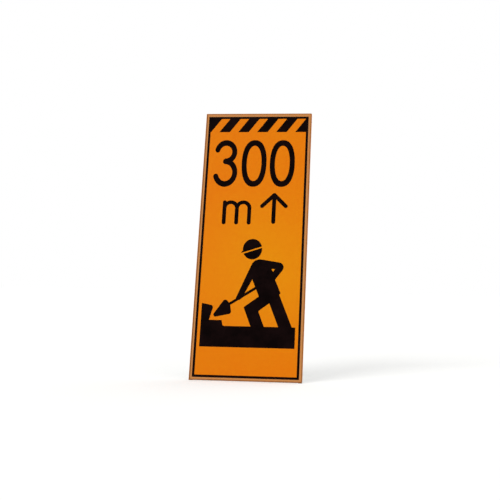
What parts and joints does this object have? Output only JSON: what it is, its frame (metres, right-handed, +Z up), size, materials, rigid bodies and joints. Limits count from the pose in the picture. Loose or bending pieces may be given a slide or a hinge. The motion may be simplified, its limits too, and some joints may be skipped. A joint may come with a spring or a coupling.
{
  "type": "road works sign",
  "caption": "Tall orange reflective road works sign, its folded steel face on a tube frame that leans back on a folding rear prop.",
  "frame": {"origin": "on the ground, at the middle of the sign's width and of its standing depth", "axes": "+X to the reader's right along the face's bottom edge, +Y from the face towards the prop, +Z up; the face leans back 15 degrees"},
  "size_m": [0.5532, 0.5288, 1.3539],
  "materials": {
    "film_orange": "orange prismatic retroreflective film with black print",
    "sign_orange": "orange baked enamel on galvanised sheet",
    "rivet_zinc": "blind rivets, plain",
    "galvanised": "galvanised square tube with weld spots",
    "galvanised_plate": "galvanised bent plate",
    "zinc_steel": "bright zinc plate",
    "white_nylon": "natural nylon",
    "black_plastic": "moulded black polyethylene"
  },
  "bodies": {
    "board": {"reflective_sheet": "film_orange", "face_panel": "sign_orange", "rivet_left_1": "rivet_zinc", "rivet_left_2": "rivet_zinc", "rivet_left_3": "rivet_zinc", "rivet_left_4": "rivet_zinc", "rivet_left_5": "rivet_zinc", "rivet_right_1": "rivet_zinc", "rivet_right_2": "rivet_zinc", "rivet_right_3": "rivet_zinc", "rivet_right_4": "rivet_zinc", "rivet_right_5": "rivet_zinc", "rivet_top_1": "rivet_zinc", "rivet_top_2": "rivet_zinc", "rivet_top_3": "rivet_zinc", "stile_left": "galvanised", "stile_right": "galvanised", "rail_top": "galvanised", "rail_hinge": "galvanised", "rail_lower": "galvanised", "rail_bottom": "galvanised", "front_foot_left": "black_plastic", "front_foot_right": "black_plastic", "hinge_bracket_left": "galvanised_plate", "hinge_bracket_right": "galvanised_plate", "pivot_sleeve_left": "zinc_steel", "pivot_sleeve_right": "zinc_steel", "pivot_bolt_left": "zinc_steel", "pivot_bolt_right": "zinc_steel", "pivot_nut_left": "zinc_steel", "pivot_nut_right": "zinc_steel", "pivot_washer_outer_left": "zinc_steel", "pivot_washer_outer_right": "zinc_steel", "pivot_washer_inner_left": "zinc_steel", "pivot_washer_inner_right": "zinc_steel", "pivot_spacer_outer_left": "white_nylon", "pivot_spacer_outer_right": "white_nylon", "pivot_spacer_inner_left": "white_nylon", "pivot_spacer_inner_right": "white_nylon"},
    "prop": {"prop_arm_left": "galvanised", "prop_arm_right": "galvanised", "prop_bar_upper": "galvanised", "prop_bar_lower": "galvanised", "rear_foot_left": "black_plastic", "rear_foot_right": "black_plastic"}
  },
  "joints": [
    {"name": "prop_fold", "type": "hinge", "parent": "board", "child": "prop", "pos_m": [0, 0.01592, 0.89092], "axis": [1, 0, 0], "range_deg": [-30, 0]}
  ]
}
